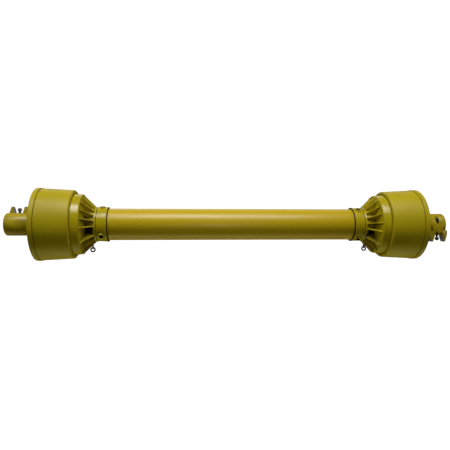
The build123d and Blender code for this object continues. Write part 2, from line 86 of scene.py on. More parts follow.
camera_data = bpy.data.cameras.new("camera")
camera_data.lens = LENS_MM
camera_data.sensor_width = SENSOR_MM
camera = bpy.data.objects.new("camera", camera_data)
camera.location = CAMERA_PLACE
camera.rotation_euler = (math.radians(90), 0.0, CAMERA_YAW)
bpy.context.scene.collection.objects.link(camera)
bpy.context.scene.camera = camera
print("camera", CAMERA_PLACE, "lens", LENS_MM)


# %% Colour and node helpers
def linear(hex_colour):
    """sRGB hex such as "9b8313" to a linear RGBA tuple."""
    values = np.array([int(hex_colour[i : i + 2], 16) for i in (0, 2, 4)]) / 255.0
    low, high = values / 12.92, ((values + 0.055) / 1.055) ** 2.4
    return (*np.where(values <= 0.04045, low, high).tolist(), 1.0)


def add(tree, kind, inputs=None, **settings):
    """Adds one node: settings are its properties; inputs are numbers, colours or links."""
    node = tree.nodes.new(kind)
    for name, value in settings.items():
        setattr(node, name, value)
    for key, value in (inputs or {}).items():
        if isinstance(value, bpy.types.NodeSocket):
            tree.links.new(value, node.inputs[key])
        else:
            node.inputs[key].default_value = value
    return node


# %% Mesh helper
def solid_from_grid(name, points, close_rows=True, close_columns=True):
    """Mesh from a grid of points, shape (rows, columns, 3).

    Each cell is one quad; close_rows joins the last row to the first, and
    close_columns the last column to the first, so both together make a closed skin.
    """
    rows, columns = points.shape[:2]
    index = np.arange(rows * columns).reshape(rows, columns)
    if close_rows:
        index = np.vstack([index, index[:1]])
    if close_columns:
        index = np.hstack([index, index[:, :1]])
    quads = np.stack(
        [index[:-1, :-1], index[1:, :-1], index[1:, 1:], index[:-1, 1:]], axis=-1
    ).reshape(-1, 4)
    return mesh_object(name, points.reshape(-1, 3), quads)


def mesh_object(name, vertices, quads):
    """Links a smooth-shaded object made of quads, at the origin."""
    mesh = bpy.data.meshes.new(name)
    mesh.vertices.add(len(vertices))
    mesh.vertices.foreach_set("co", np.ascontiguousarray(vertices, np.float32).ravel())
    mesh.loops.add(quads.size)
    mesh.loops.foreach_set("vertex_index", quads.astype(np.int32).ravel())
    mesh.polygons.add(len(quads))
    mesh.polygons.foreach_set("loop_start", np.arange(0, quads.size, 4, dtype=np.int32))
    mesh.polygons.foreach_set("use_smooth", np.ones(len(quads), bool))
    mesh.update(calc_edges=True)
    mesh.validate()
    piece = bpy.data.objects.new(name, mesh)
    bpy.context.scene.collection.objects.link(piece)
    return piece


# %% Floor and wall
FLOOR_DROP = 0.9
WALL_BACK = 2.6
SWEEP_RADIUS = 0.6
FLOOR_FRONT = -4.0
WALL_TOP = 4.0
HALF_WIDTH = 6.0
GLOW_START, GLOW_FULL = 0.45, 0.78
GLOW_FRONT, GLOW_BACK = 0.80, 1.05


def sweep_floor():
    """A flat floor, a quarter turn up, and a flat wall: one profile pulled along X."""
    turn = np.linspace(0, math.pi / 2, 24)
    bend_start = WALL_BACK - SWEEP_RADIUS
    y = np.concatenate([[FLOOR_FRONT], bend_start + SWEEP_RADIUS * np.sin(turn), [WALL_BACK]])
    z = np.concatenate([[0.0], SWEEP_RADIUS - SWEEP_RADIUS * np.cos(turn), [WALL_TOP]]) - FLOOR_DROP
    x = np.array([-HALF_WIDTH, HALF_WIDTH])
    grid = np.stack(np.broadcast_arrays(x[None, :], y[:, None], z[:, None]), axis=-1)
    return solid_from_grid("floor", grid, close_rows=False, close_columns=False)


def floor_paint():
    """Matt white studio board whose glow rises smoothly behind the shaft."""
    material = bpy.data.materials.new("studio_board")
    material.use_nodes = True
    shader = material.node_tree.nodes["Principled BSDF"]
    shader.inputs["Base Color"].default_value = linear("f6f6f6")
    shader.inputs["Roughness"].default_value = 0.9
    shader.inputs["Emission Color"].default_value = (1.0, 1.0, 1.0, 1.0)
    tree = material.node_tree
    place = add(tree, "ShaderNodeTexCoord").outputs["Object"]
    depth = add(tree, "ShaderNodeSeparateXYZ", {0: place}).outputs["Y"]
    inputs = {"Value": depth, 1: GLOW_START, 2: GLOW_FULL, 3: GLOW_FRONT, 4: GLOW_BACK}
    glow = add(tree, "ShaderNodeMapRange", inputs, interpolation_type="SMOOTHSTEP")
    tree.links.new(glow.outputs["Result"], shader.inputs["Emission Strength"])
    return material


floor = sweep_floor()
floor.data.materials.append(floor_paint())
floor.visible_diffuse = False
floor.visible_glossy = False
print("floor", FLOOR_DROP, "m below the shaft's axis")


# %% [markdown]
# ## Light
# The key light sets the highlights along the top. A weak frontal fill opens the middle, a
# long softbox low down stands for the light that a white table throws back, and weak lights
# behind and at both ends keep the far sides readable.

# %% Light helper
def softbox(name, place, target, width, height, watts, spread_degrees):
    """A rectangular soft light behind a grid, at a place, turned to face a target."""
    data = bpy.data.lights.new(name, "AREA")
    data.shape = "RECTANGLE"
    data.size, data.size_y = width, height
    data.energy = watts
    data.spread = math.radians(spread_degrees)
    light = bpy.data.objects.new(name, data)
    light.location = place
    aim = np.array(target) - np.array(place)
    pitch = math.atan2(-aim[2], math.hypot(aim[0], aim[1]))
    yaw = math.atan2(-aim[0], aim[1])
    light.rotation_euler = (math.radians(90) - pitch, 0.0, yaw)
    light.visible_camera = False
    bpy.context.scene.collection.objects.link(light)
    return light


# %% Lights
KEY_WATTS = 11.0
FILL_WATTS = 0.020
BOUNCE_WATTS = 3.4
BACK_WATTS = 2.2
SIDE_WATTS = 0.9
WORLD_GLOW = 0.012
MIDDLE = (0.0, 0.0, 0.0)
KEY_PLACE = (-0.1, -0.92, 1.74)
FILL_PLACE = (0.0, -1.35, -0.12)
BOUNCE_PLACE = (0.0, 0.20, -0.86)
BACK_PLACE = (0.0, 1.25, 1.05)
softbox("key", KEY_PLACE, MIDDLE, 2.3, 0.95, KEY_WATTS, spread_degrees=80)
softbox("fill", FILL_PLACE, MIDDLE, 0.34, 0.30, FILL_WATTS, spread_degrees=26)
bounce = softbox("bounce", BOUNCE_PLACE, MIDDLE, 2.4, 0.30, BOUNCE_WATTS, spread_degrees=120)
bounce.visible_glossy = False
softbox("back", BACK_PLACE, MIDDLE, 2.4, 0.7, BACK_WATTS, spread_degrees=120)
for name, side in SIDES.items():
    end_place, end_target = (side * 1.7, -0.25, 0.45), (side * 0.4, 0.0, 0.0)
    softbox(f"{name}_side", end_place, end_target, 0.8, 0.8, SIDE_WATTS, spread_degrees=100)

# %% World
world = bpy.data.worlds.new("studio")
world.use_nodes = True
backdrop = world.node_tree.nodes["Background"]
backdrop.inputs["Color"].default_value = (1.0, 1.0, 1.0, 1.0)
seen = add(world.node_tree, "ShaderNodeLightPath").outputs["Is Camera Ray"]
inputs = {"Value": seen, 3: WORLD_GLOW, 4: GLOW_FRONT}
strength = add(world.node_tree, "ShaderNodeMapRange", inputs).outputs["Result"]
world.node_tree.links.new(strength, backdrop.inputs["Strength"])
bpy.context.scene.world = world
bpy.context.scene.view_settings.view_transform = "Standard"
print("world glow", WORLD_GLOW, "on the shaft and", GLOW_FRONT, "to the camera")


# %% [markdown]
# ## Materials
# Every finish is a small node tree on one Principled shader. The patterns are set in
# millimetres on the real object: each object sits at the origin, so its object coordinates
# are metres, and a scale of 1000 / size gives a pattern of that size in millimetres.


# %% Pattern helpers
def new_material(name, colour, roughness, metallic=0.0):
    """A material with one Principled shader; returns (material, tree, shader, position)."""
    material = bpy.data.materials.new(name)
    material.use_nodes = True
    material.diffuse_color = linear(colour)
    tree = material.node_tree
    shader = tree.nodes["Principled BSDF"]
    shader.inputs["Base Color"].default_value = linear(colour)
    shader.inputs["Roughness"].default_value = roughness
    shader.inputs["Metallic"].default_value = metallic
    place = add(tree, "ShaderNodeTexCoord").outputs["Object"]
    return material, tree, shader, place


def noise(tree, place, size_mm, stretch=(1.0, 1.0, 1.0), detail=3.0):
    """Noise with features about size_mm across, drawn out along an axis by a stretch above 1."""
    scale = tuple(1000.0 / size_mm / s for s in stretch)
    spread = add(tree, "ShaderNodeMapping", {"Vector": place, "Scale": scale})
    inputs = {"Vector": spread.outputs["Vector"], "Scale": 1.0, "Detail": detail}
    return add(tree, "ShaderNodeTexNoise", inputs).outputs["Fac"]


def between(tree, value, from_low, from_high, to_low=0.0, to_high=1.0):
    """Maps a value smoothly from one range to another."""
    inputs = {"Value": value, 1: from_low, 2: from_high, 3: to_low, 4: to_high}
    return add(tree, "ShaderNodeMapRange", inputs, interpolation_type="SMOOTHSTEP").outputs["Result"]


def times(tree, first, second, operation="MULTIPLY"):
    """first and second multiplied, or joined by another Math operation."""
    return add(tree, "ShaderNodeMath", {0: first, 1: second}, operation=operation).outputs["Value"]


def blend_colours(tree, factor, first, second):
    """first where the factor is 0 and second where it is 1; each a hex or a link."""
    ends = [linear(c) if isinstance(c, str) else c for c in (first, second)]
    inputs = {0: factor, 6: ends[0], 7: ends[1]}
    return add(tree, "ShaderNodeMix", inputs, data_type="RGBA").outputs[2]


def in_corners(tree, distance_mm, open_share=0.78, shut_share=0.30):
    """Mask for painted shade: 1 in a tight corner and 0 on an open face, judged within a distance."""
    inputs = {"Distance": distance_mm * MM}
    shaded = add(tree, "ShaderNodeAmbientOcclusion", inputs, samples=12).outputs["AO"]
    return between(tree, shaded, shut_share, open_share, 1.0, 0.0)


def scuffs(tree, place, size_mm, stretch, detail, start, patch_mm, patch_full):
    """Short scratches drawn out along X, in patches: 1 on a scratch and 0 beside it."""
    marks = between(tree, noise(tree, place, size_mm, (stretch, 1, 1), detail), start, start + 0.14)
    patches = between(tree, noise(tree, place, patch_mm), 0.5, patch_full)
    return times(tree, marks, patches)


def relief(tree, shader, layers):
    """Chains one bump per (height, depth in mm) layer into the shader's normal."""
    normal = None
    for height, depth_mm in layers:
        inputs = {"Height": height, "Distance": depth_mm * MM, "Strength": 1.0}
        if normal is not None:
            inputs["Normal"] = normal
        normal = add(tree, "ShaderNodeBump", inputs).outputs["Normal"]
    tree.links.new(normal, shader.inputs["Normal"])


# %% [markdown]
# Guards are injection-moulded or extruded polyethylene in safety yellow. The moulding has a
# fine spark-eroded grain, slight sink waves and the odd pale scuff. The extruded tube has
# no grain: faint die lines run along it, and its gloss drifts slowly round it. Every tight
# corner, most between the ribs, is darkened with painted shade.

# %% Guard plastics
MOULD_YELLOW = "c0ad0c"
MOULD_DEEP = "b09c08"
TUBE_YELLOW = "d0b20e"
TUBE_DEEP = "c0a10a"
SCUFFED = "d3c662"
# The dark olive below is painted shade for tight corners; the reaches and shares set how far it spreads
# and how strongly.
CORNER_SHADE = "241f06"
SHADE_REACH_MM = 5.0
RIB_SHADE_REACH_MM = 8.0
SHADE_SHARE, TUBE_SHADE_SHARE = 0.92, 0.9
POLYETHYLENE_IOR = 1.51


def guard_moulding(name, gloss_low, gloss_high, sheen, shade_reach_mm):
    """Moulded polyethylene, safety yellow; the roughness runs between two values."""
    material, tree, shader, place = new_material(name, MOULD_YELLOW, gloss_high)
    cloud = noise(tree, place, 45, detail=4)
    tone = blend_colours(tree, between(tree, cloud, 0.3, 0.7, 0.0, 0.55), MOULD_YELLOW, MOULD_DEEP)
    scuff = scuffs(tree, place, 3, 9, 6, 0.66, 60, 0.7)
    clean = blend_colours(tree, times(tree, scuff, 0.5), tone, SCUFFED)
    # Painted shade: tight corners and rib gaps are blended towards the dark corner colour.
    corner_shade = times(tree, in_corners(tree, shade_reach_mm), SHADE_SHARE)
    tree.links.new(blend_colours(tree, corner_shade, clean, CORNER_SHADE), shader.inputs["Base Color"])
    gloss = between(tree, noise(tree, place, 14, detail=6), 0.25, 0.75, gloss_low, gloss_high)
    tree.links.new(gloss, shader.inputs["Roughness"])
    shader.inputs["Specular IOR Level"].default_value = sheen
    sink, grain = noise(tree, place, 30, detail=1), noise(tree, place, 0.7, detail=2)
    relief(tree, shader, [(sink, 0.12), (grain, 0.012), (scuff, -0.02)])
    shader.inputs["IOR"].default_value = POLYETHYLENE_IOR
    return material


def guard_extrusion():
    """Extruded polyethylene tube, safety yellow, with die lines along X."""
    material, tree, shader, place = new_material("extruded_polyethylene_yellow", TUBE_YELLOW, 0.33)
    cloud = noise(tree, place, 60, (4, 1, 1), 3)
    tone = blend_colours(tree, between(tree, cloud, 0.3, 0.7, 0.0, 0.45), TUBE_YELLOW, TUBE_DEEP)
    scuff = scuffs(tree, place, 2.5, 14, 5, 0.68, 80, 0.68)
    clean = blend_colours(tree, times(tree, scuff, 0.5), tone, SCUFFED)
    # Painted shade: tight corners are blended towards the dark corner colour.
    corner_shade = times(tree, in_corners(tree, SHADE_REACH_MM), TUBE_SHADE_SHARE)
    tree.links.new(blend_colours(tree, corner_shade, clean, CORNER_SHADE), shader.inputs["Base Color"])
    gloss = between(tree, noise(tree, place, 9, (12, 1, 1), 4), 0.25, 0.75, 0.29, 0.38)
    tree.links.new(gloss, shader.inputs["Roughness"])
    drift, die_lines = noise(tree, place, 50, (3, 1, 1), 1), noise(tree, place, 1.6, (400, 1, 1), 2)
    relief(tree, shader, [(drift, 0.10), (die_lines, 0.012), (scuff, -0.02)])
    shader.inputs["IOR"].default_value = POLYETHYLENE_IOR
    return material


# %% [markdown]
# The outer yokes are forged steel under yellow enamel. Brushed-on enamel pulls into slow
# waves, and the fins' sloping sides are worn to bare steel. The inner yokes carry the same
# enamel, and their necks are black with the slide rings' grease. Tight corners on every yoke
# are darkened with painted shade in the same near-black.

# %% Yoke enamel
ENAMEL_YELLOW = "bca50c"
ENAMEL_DEEP = "a08a08"
BARE_STEEL, STEEL_SHADE = "b4b6bb", "8c8d92"
FIN_METAL = 0.35
FIN_START_MM = 25.6
FIN_INNER_X = 0.452
GREASE_AND_SHADE = "15130d"
GREASE_ENDS = (0.334, 0.342)


def yoke_enamel():
    """Satin yellow enamel over a forging; bare steel on the fins' sides, grease on the neck and painted
    shade in tight corners.
    """
    material, tree, shader, place = new_material("enamel_over_forging", ENAMEL_YELLOW, 0.34)
    cloud = noise(tree, place, 22, detail=5)
    paint = blend_colours(tree, between(tree, cloud, 0.35, 0.65), ENAMEL_YELLOW, ENAMEL_DEEP)
    facing = add(tree, "ShaderNodeTexCoord").outputs["Normal"]
    normal = add(tree, "ShaderNodeSeparateXYZ", {0: facing})
    spot = add(tree, "ShaderNodeSeparateXYZ", {0: place})
    side_facing = between(tree, times(tree, normal.outputs["X"], 0.0, "ABSOLUTE"), 0.80, 0.90)
    height = times(tree, spot.outputs["Z"], 0.0, "ABSOLUTE")
    along = times(tree, spot.outputs["X"], 0.0, "ABSOLUTE")
    above_hub = between(tree, height, FIN_START_MM * MM, (FIN_START_MM + 0.6) * MM)
    on_fin = times(tree, above_hub, between(tree, along, FIN_INNER_X, FIN_INNER_X + 0.5 * MM))
    ragged = between(tree, noise(tree, place, 2.5, detail=5), 0.34, 0.42)
    bare = times(tree, times(tree, side_facing, on_fin), ragged)
    steel = blend_colours(tree, noise(tree, place, 0.6, (1, 12, 1), 3), BARE_STEEL, STEEL_SHADE)
    worn = blend_colours(tree, bare, paint, steel)
    on_neck = between(tree, along, *GREASE_ENDS, 1.0, 0.0)
    # Grease on the neck, and painted shade in tight corners, both blend towards the near-black.
    grease_and_shade = times(tree, in_corners(tree, SHADE_REACH_MM), on_neck, "MAXIMUM")
    tree.links.new(blend_colours(tree, grease_and_shade, worn, GREASE_AND_SHADE), shader.inputs["Base Color"])
    tree.links.new(times(tree, bare, FIN_METAL), shader.inputs["Metallic"])
    gloss = between(tree, noise(tree, place, 8, detail=5), 0.3, 0.7, 0.27, 0.42)
    tree.links.new(gloss, shader.inputs["Roughness"])
    waves, peel = noise(tree, place, 9, detail=3), noise(tree, place, 1.2, detail=3)
    relief(tree, shader, [(waves, 0.16), (peel, 0.02)])
    return material


# %% [markdown]
# The rest is hardware: ground and black-oxide steels, greased drawn tube, black nylon,
# rubber and a passivated nipple. Turned parts show fine lines round their axis, the drawn
# tubes show them along X, and a thin grease film varies the gloss.

# %% Hardware finishes
FILM_SHADE, FILM_GLOSS, BLACK_FILM_GLOSS = 0.72, 0.12, 0.08


def steel(name, colour, roughness, size_mm, stretch, depth_mm):
    """Bare or oxide-coated steel with tool lines of a size and direction under a thin film."""
    material, tree, shader, place = new_material(name, colour, roughness, 1.0)
    lines = noise(tree, place, size_mm, stretch, 3)
    cloud = noise(tree, place, 11, detail=4)
    dark = "%02x%02x%02x" % tuple(int(int(colour[i : i + 2], 16) * FILM_SHADE) for i in (0, 2, 4))
    tone = blend_colours(tree, between(tree, cloud, 0.35, 0.7), colour, dark)
    gloss = between(tree, cloud, 0.3, 0.7, roughness - FILM_GLOSS, roughness + FILM_GLOSS)
    tree.links.new(tone, shader.inputs["Base Color"])
    tree.links.new(gloss, shader.inputs["Roughness"])
    relief(tree, shader, [(lines, depth_mm)])
    return material


def soft_black(name, colour, roughness, grain_mm, depth_mm):
    """Nylon or rubber: near-black, fine grain, gloss broken by a film of grease."""
    material, tree, shader, place = new_material(name, colour, roughness)
    low, high = roughness - BLACK_FILM_GLOSS, roughness + BLACK_FILM_GLOSS
    film = between(tree, noise(tree, place, 9, detail=5), 0.35, 0.65, low, high)
    tree.links.new(film, shader.inputs["Roughness"])
    relief(tree, shader, [(noise(tree, place, grain_mm, detail=3), depth_mm)])
    return material


PLASTIC = guard_moulding("satin_polyethylene_yellow", 0.40, 0.50, 0.26, SHADE_REACH_MM)
GLOSSY_PLASTIC = guard_moulding("glossy_polyethylene_yellow", 0.20, 0.30, 0.50, SHADE_REACH_MM)
# The ribbed cone's painted shade reaches further, to darken the gaps between the ribs.
RIBBED_PLASTIC = guard_moulding("ribbed_polyethylene_yellow", 0.20, 0.30, 0.50, RIB_SHADE_REACH_MM)
TUBE_PLASTIC = guard_extrusion()
ENAMEL = yoke_enamel()
GROUND = steel("ground_bearing_steel", "b4b2ae", 0.28, 0.5, (1, 1, 1), 0.004)
DRAWN = steel("greased_drawn_tube", "8d8a86", 0.36, 0.8, (200, 1, 1), 0.01)
OXIDE = steel("black_oxide_steel", "3a3a3c", 0.42, 0.6, (1, 1, 1), 0.006)
CHAIN = steel("oiled_chain_wire", "4a4845", 0.46, 1.5, (1, 1, 1), 0.01)
PIN = steel("turned_steel_oiled", "8a847c", 0.33, 0.5, (8, 8, 1), 0.006)
BRASS = steel("passivated_brass", "b59a5c", 0.36, 0.5, (1, 1, 1), 0.005)
NYLON = soft_black("greased_black_nylon", "1b1b1b", 0.40, 0.6, 0.01)
RUBBER = soft_black("moulded_seal_rubber", "161616", 0.58, 0.5, 0.015)
print("materials:", len(bpy.data.materials))

# %% [markdown]
# ## Frame finishes
# The inner hardware keeps its CAD meshes. Each node takes a finish by its material slot.

# %% Dress the CAD nodes
SLOT_FINISH = {
    "guard_plastic": PLASTIC,
    "bearing_plastic": NYLON,
    "yoke_paint": ENAMEL,
    "tube_steel": DRAWN,
    "seal_rubber": RUBBER,
    "black_steel": OXIDE,
    "chain_steel": CHAIN,
    "pin_steel": PIN,
    "nipple_brass": BRASS,
    "ground_steel": GROUND,
}
NODE_SLOT = {part["node"]: part["material_slot"] for part in frame["record"]["subparts"]}
for node_name, node in frame["nodes"].items():
    node.data.materials.clear()
    node.data.materials.append(SLOT_FINISH[NODE_SLOT[node_name]])
print("dressed", len(NODE_SLOT), "nodes")


# %% [markdown]
# ## Shapes
# Turned parts come from a closed outline of (station, radius) corners, each with its own
# rounding, swept round the shaft's axis. Small turned parts are swept round an axis of
# their own. Every skin is closed.


# %% Outlines and turning
def rounded(corners, steps=5):
    """Closed outline through (u, v, radius) corners, each corner an arc of that radius.

    The arc touches both sides at r / tan(a / 2) from the corner, a being its inner angle.
    """
    points = np.array(corners, float)
    outline = []
    for here, before, after in zip(points, np.roll(points, 1, 0), np.roll(points, -1, 0)):
        if here[2] <= 0:
            outline.append(here[:2][None])
            continue
        back, ahead = before[:2] - here[:2], after[:2] - here[:2]
        back_length, ahead_length = np.linalg.norm(back), np.linalg.norm(ahead)
        back, ahead = back / back_length, ahead / ahead_length
        half = math.acos(float(np.clip(back @ ahead, -1, 1))) / 2
        reach_out = min(here[2] / math.tan(half), 0.49 * back_length, 0.49 * ahead_length)
        radius = reach_out * math.tan(half)
        middle = here[:2] + (back + ahead) / np.linalg.norm(back + ahead) * radius / math.sin(half)
        start, end = here[:2] + back * reach_out - middle, here[:2] + ahead * reach_out - middle
        turn = math.atan2(start[0] * end[1] - start[1] * end[0], float(start @ end))
        sweep = turn * np.linspace(0, 1, steps + 1)[:, None]
        outline.append(middle + start * np.cos(sweep) + np.array([-start[1], start[0]]) * np.sin(sweep))
    return np.vstack(outline)


def around(angle):
    """Unit vectors from the shaft's axis: 0 degrees is the front (-Y), 90 the top (+Z)."""
    turn = np.radians(angle)
    return np.stack([np.zeros_like(turn), -np.cos(turn), np.sin(turn)], axis=-1)


def turned(name, side, corners, count=160, steps=5):
    """Closed solid of revolution about X: (x, r) -> (side * x, -r cos t, r sin t), in mm."""
    outline = rounded(corners, steps)
    angle = np.arange(count) * 360.0 / count
    grid = outline[:, None, 1:] * around(angle)[None]
    grid[..., 0] = side * outline[:, None, 0]
    return closed_skin(solid_from_grid(name, grid * MM))


def spun(name, outline, base, axis, count=48):
    """Closed solid about its own axis: base + h * axis + r * (u cos t + v sin t), in mm.

    The outline runs over (height, radius) pairs from one point on the axis to the other.
    """
    axis = np.array(axis, float) / np.linalg.norm(axis)
    across = np.cross(axis, [1.0, 0.0, 0.0] if abs(axis[0]) < 0.9 else [0.0, 1.0, 0.0])
    across /= np.linalg.norm(across)
    turn = np.arange(count) * 2 * math.pi / count
    ring = np.cos(turn)[:, None] * across + np.sin(turn)[:, None] * np.cross(axis, across)
    outline = np.array(outline, float)
    height, radius = outline[:, 0], outline[:, 1]
    grid = np.array(base, float) + height[:, None, None] * axis + radius[:, None, None] * ring[None]
    return closed_skin(solid_from_grid(name, grid * MM, close_rows=False), merge=True)


def closed_skin(piece, merge=False):
    """Joins points that coincide, as at a pole, and turns every face outwards."""
    skin = bmesh.new()
    skin.from_mesh(piece.data)
    if merge:
        bmesh.ops.remove_doubles(skin, verts=skin.verts, dist=1e-7)
    bmesh.ops.recalc_face_normals(skin, faces=skin.faces)
    open_edges = sum(not edge.is_manifold for edge in skin.edges)
    skin.to_mesh(piece.data)
    skin.free()
    if open_edges:
        print("open edges on", piece.name, open_edges)
    return piece


def gathered(name, pieces):
    """Several closed skins as one object."""
    both = bmesh.new()
    for piece in pieces:
        both.from_mesh(piece.data)
        bpy.data.objects.remove(piece)
    mesh = bpy.data.meshes.new(name)
    both.to_mesh(mesh)
    both.free()
    whole = bpy.data.objects.new(name, mesh)
    bpy.context.scene.collection.objects.link(whole)
    return whole


def crease(piece, degrees=35):
    """Smooth shading, but sharp where two faces meet at more than an angle."""
    piece.data.set_sharp_from_angle(angle=math.radians(degrees))
    return piece


def fit_out(piece, body, slot, finish, *nodes):
    """Gives a piece its body and finish, and the CAD nodes it stands for; slot is not used."""
    piece.data.materials.clear()
    piece.data.materials.append(finish)
    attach(piece, body)
    if nodes:
        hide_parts(*nodes)
    return piece


# %% [markdown]
# ## Guard tubes
# Two extruded tubes telescope over one another: the outer one is fixed to the left cone and
# the inner one to the right. Both are sawn square and their edges are lightly broken.

# %% Guard tubes
TUBE_SEAT = 296.5
for tube_name, side, free_x, tube_r, bore_r in (
    ("outer_guard_tube", -1, 278.0, 35.0, 33.0),
    ("inner_guard_tube", 1, 262.0, 32.6, 30.6),
):
    seat_end = [(-TUBE_SEAT, bore_r, 0.3), (-TUBE_SEAT, tube_r, 0.3)]
    free_end = [(free_x, tube_r, 0.5), (free_x, bore_r, 0.4)]
    section = [seat_end[1], *free_end, seat_end[0]]
    tube = turned(f"{tube_name}_skin", -side, section, count=192, steps=3)
    body = "left_guard" if side < 0 else "right_guard"
    fit_out(crease(tube), body, "guard_plastic", TUBE_PLASTIC, tube_name)
print("outer tube radius", top("outer_guard_tube"), "m")

# %% [markdown]
# ## Bells
# Each bell is one injection moulding. The wall is drafted so that it leaves the tool, the
# foot is rounded where it bends in to the cone, and the rim steps out into a stiff band.

# %% Bells
BELL = [
    (345.6, 67.35, 0.4),
    (345.6, 75.3, 7.5),
    (414.7, 78.95, 0.3),
    (415.1, 77.9, 0.15),
    (415.7, 77.9, 0.15),
    (416.1, 80.0, 0.4),
    (426.0, 80.0, 0.7),
    (426.0, 77.5, 0.6),
    (417.0, 77.3, 0.8),
    (415.2, 76.5, 0.6),
    (348.1, 72.8, 5.0),
    (348.1, 67.35, 0.4),
]
for name, side in SIDES.items():
    bell = turned(f"{name}_bell_skin", side, BELL, count=224, steps=8)
    fit_out(crease(bell, 40), f"{name}_guard", "guard_plastic", PLASTIC, f"{name}_bell")
print("bell rim radius", top("left_bell"), "m")

# %% [markdown]
# ## Ribbed cones
# The cone carries eighteen thin ribs in two groups. A gap between the groups leaves room
# for the two greasing windows in the neck. On a moulding, ribs grow out of the wall through
# a small fillet and end in a rounded edge, so the whole outside is one surface here: columns
# of the grid climb each rib at fixed distances from its middle, and rows follow the wall.

# %% Cone layout
RIB_HALF = 1.1
RIB_FILLET = 0.9
RIB_EDGE = 0.5
RIB_DRAFT = 0.15
RIB_START = (300.2, 38.0)
RIB_END = (327.8, 64.5)
RIB_STEP_DEGREES = 18.5
RIBS_IN_GROUP = 9
WINDOW_GAP_DEGREES = 32.0
WINDOW_DEGREES = {"left": -23.0, "right": -31.5}
WINDOW_X = (305.0, 320.0)
WINDOW_CELLS, GAP_CELLS = 9, 5
NECK_R, NECK_BORE_R = 36.0, 33.4
SLEEVE_R = {"left": (31.0, 32.95), "right": (32.65, 34.6)}
NECK_START_X = 296.85
NECK_SHARE = 0.52
CONE_BEND = [(320.25, 36.25), (320.5, 37.0), (320.9, 38.6)]
CONE_TOP = (327.65, 64.45)
CONE_RIM = [
    (328.0, 65.2),
    (328.5, 65.8),
    (329.3, 66.05),
    (337.0, 66.63),
    (345.0, 67.2),
    (348.5, 67.2),
    (348.6, 67.3),
    (348.65, 67.95),
    (348.9, 68.2),
    (350.4, 68.1),
    (351.7, 67.95),
    (352.0, 67.6),
]
CONE_INSIDE = [
    (352.0, 64.8),
    (351.8, 64.6),
    (341.0, 64.2),
    (331.6, 63.6),
    (331.0, 63.0),
    (326.8, 49.0),
    (322.6, 34.6),
    (322.0, 33.4),
]
SLEEVE_START_X, SLEEVE_STEP_X = 282.0, 299.5
SAME_MM = 0.01


def rib_columns():
    """(distance from the rib's middle in mm, kind, amount) across one rib.

    Kind 0 climbs the fillet by amount * RIB_FILLET; kind 1 ends amount * RIB_EDGE below
    the top.
    """
    rise = np.radians([0.0, 30.0, 60.0, 90.0])
    climb = [(RIB_HALF + RIB_FILLET * (1 - math.sin(a)), 0, 1 - math.cos(a)) for a in rise]
    top_half = RIB_HALF - RIB_DRAFT
    bend = np.radians([0.0, 30.0, 60.0, 90.0])
    crest = [(top_half - RIB_EDGE * (1 - math.cos(b)), 1, 1 - math.sin(b)) for b in bend]
    half = climb + crest
    return np.array([(-d, k, a) for d, k, a in half] + [(d, k, a) for d, k, a in reversed(half)])


def cone_grid(name):
    """(foot, crest, first ribbed row, neck stations) of the rows, outside and back inside.

    Along the ribbed rows the crest runs straight from RIB_START to RIB_END. The neck takes
    NECK_SHARE of that line and the cone's slope takes the rest. Other rows have no rib.
    """
    sleeve_bore, sleeve_out = SLEEVE_R[name]
    window_start, neck_end = WINDOW_X
    before_window, in_window = np.linspace(298.5, window_start, 4), np.linspace(307.5, neck_end, 6)
    neck_x = np.concatenate([[NECK_START_X], before_window, in_window])
    neck = np.stack([neck_x, np.full_like(neck_x, NECK_R)], 1)
    share = np.linspace(0, 1, 12)[1:, None]
    slope = np.array(CONE_BEND[-1]) * (1 - share) + np.array(CONE_TOP) * share
    wall = np.vstack([neck, CONE_BEND, slope])
    along_neck = NECK_SHARE * (wall[:, 0] - NECK_START_X) / (neck_end - NECK_START_X)
    up_slope = NECK_SHARE + (1 - NECK_SHARE) * (wall[:, 1] - NECK_R) / (CONE_TOP[1] - NECK_R)
    at = np.where(np.arange(len(wall)) < len(neck), along_neck, up_slope)[:, None]
    edge = np.array(RIB_START) * (1 - at) + np.array(RIB_END) * at
    before = [(sleeve_x, sleeve_out) for sleeve_x in (SLEEVE_START_X, 289.0, 296.5)]
    before += [(296.5, NECK_R - 0.3), (296.6, NECK_R), (296.75, NECK_R)]
    bore = [(x, NECK_BORE_R) for x in neck_x[:0:-1]] + [(SLEEVE_STEP_X, NECK_BORE_R)]
    bore += [(SLEEVE_STEP_X, sleeve_bore), (SLEEVE_START_X, sleeve_bore)]
    foot = np.vstack([before, wall, CONE_RIM, CONE_INSIDE, bore])
    crest = np.vstack([before, edge, CONE_RIM, CONE_INSIDE, bore])
    return foot, crest, len(before), neck_x


def rib_angles(window):
    """Angles of the ribs, and the gap in degrees that follows each."""
    first = [window + turn + WINDOW_GAP_DEGREES / 2 for turn in (0, 180)]
    ribs = np.concatenate([f + RIB_STEP_DEGREES * np.arange(RIBS_IN_GROUP) for f in first])
    gaps = np.tile(np.r_[np.full(RIBS_IN_GROUP - 1, RIB_STEP_DEGREES), WINDOW_GAP_DEGREES], 2)
    return ribs, gaps


